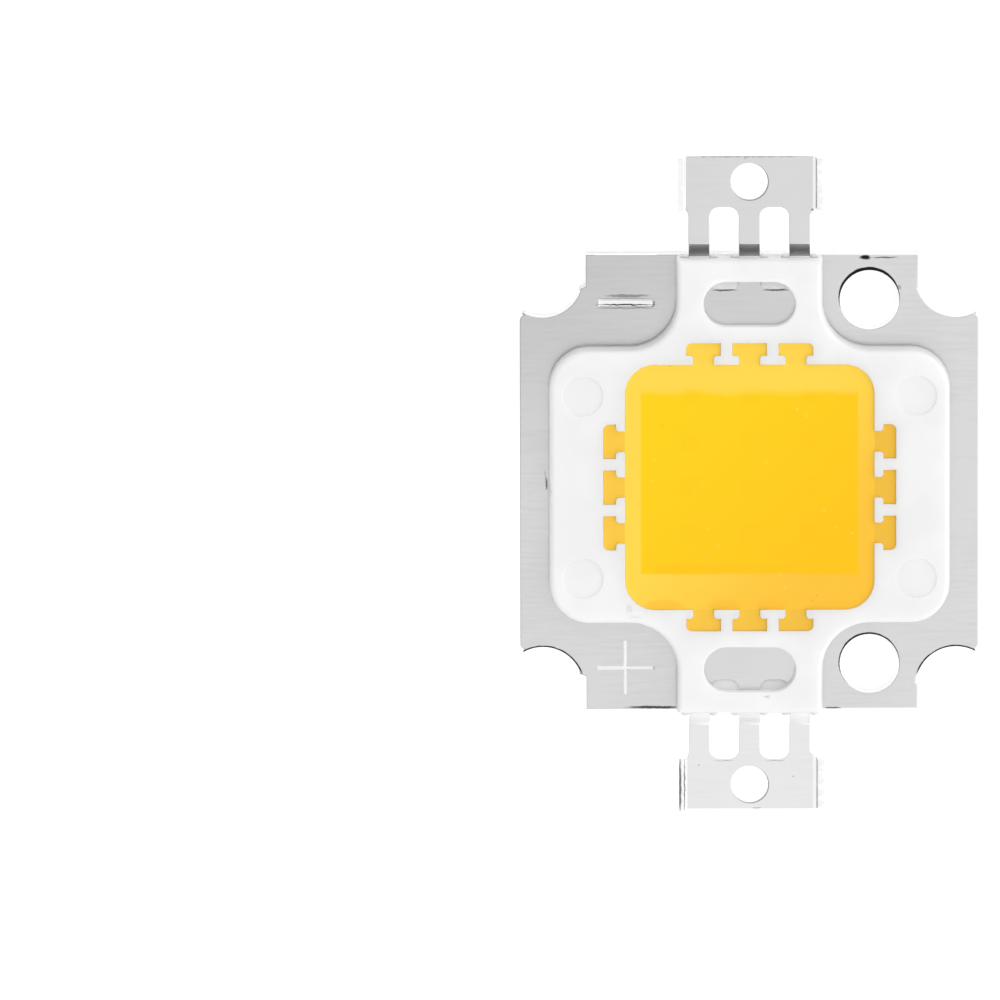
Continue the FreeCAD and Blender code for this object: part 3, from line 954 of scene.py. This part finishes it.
def floor():
    """White floor that keeps a soft shadow."""
    bm = bmesh.new()
    bmesh.ops.create_grid(bm, x_segments=1, y_segments=1, size=2.0)
    mesh = bpy.data.meshes.new("floor")
    bm.to_mesh(mesh)
    bm.free()
    made = bpy.data.objects.new("floor", mesh)
    bpy.context.scene.collection.objects.link(made)
    material = bpy.data.materials.new("floor")
    material.use_nodes = True
    tree = material.node_tree
    shader = tree.nodes["Principled BSDF"]
    shader.inputs["Base Color"].default_value = (0.8, 0.8, 0.8, 1)
    shader.inputs["Roughness"].default_value = 1.0
    shader.inputs["Specular IOR Level"].default_value = 0.0
    path = node(tree, "LightPath").outputs
    seen = calc(tree, "MULTIPLY", path["Is Camera Ray"], floor_seen)
    mirrored = calc(tree, "MAXIMUM", path["Is Glossy Ray"], path["Is Transmission Ray"])
    mirrored = calc(tree, "MULTIPLY", mirrored, floor_mirrored)
    shader.inputs["Emission Color"].default_value = (1, 1, 1, 1)
    tree.links.new(calc(tree, "MAXIMUM", seen, mirrored), shader.inputs["Emission Strength"])
    mesh.materials.append(material)


def soft_lamp(name, place, size, power):
    """Square lamp that faces the object. Its place and size are in metres."""
    data = bpy.data.lights.new(name, "AREA")
    data.size = size
    data.energy = power
    made = bpy.data.objects.new(name, data)
    made.location = place
    made.rotation_euler = (-Vector(place)).to_track_quat("-Z", "Y").to_euler()
    bpy.context.scene.collection.objects.link(made)


def camera():
    """Long lens at the photograph's angle."""
    data = bpy.data.cameras.new("camera")
    data.sensor_width = 36.0
    data.lens = data.sensor_width * pixels_per_mm * view_distance / picture_pixels
    data.clip_start = 0.01
    data.clip_end = 10.0
    made = bpy.data.objects.new("camera", data)
    turn = Matrix.Rotation(view_pan, 3, "Y") @ Matrix.Rotation(-view_tilt, 3, "X")
    turn = turn @ Matrix.Rotation(view_roll, 3, "Z")
    made.location = (Vector(aim_point) + turn @ Vector((0, 0, view_distance))) * MM
    made.rotation_euler = turn.to_euler()
    bpy.context.scene.collection.objects.link(made)
    bpy.context.scene.camera = made


def dress_inner_nodes():
    """Materials for the dies, their silver paste and the gold wires under the gel."""
    crystal = die_crystal()
    paste = simple_metal("silver paste", (0.75, 0.75, 0.75), (0.5, 0.5, 0.5), 20)
    gold = simple_metal("gold wire", (1.0, 0.75, 0.3), (0.85, 0.6, 0.2), 30)
    for name, made in frame["nodes"].items():
        for start, material in (("led_die", crystal), ("die_bond", paste), ("bond_wire", gold)):
            if name.startswith(start):
                made.data.materials.clear()
                made.data.materials.append(material)


base_plate()
moulded_frame()
silver = lead_metal()
lead("minus_lead", "minus_terminal", silver, 0)
lead("plus_lead", "plus_terminal", silver, 2)
gel()
dress_inner_nodes()
world()
floor()
soft_lamp("key lamp", key_place, key_size, key_power)
camera()
bpy.context.scene.view_settings.view_transform = "Standard"
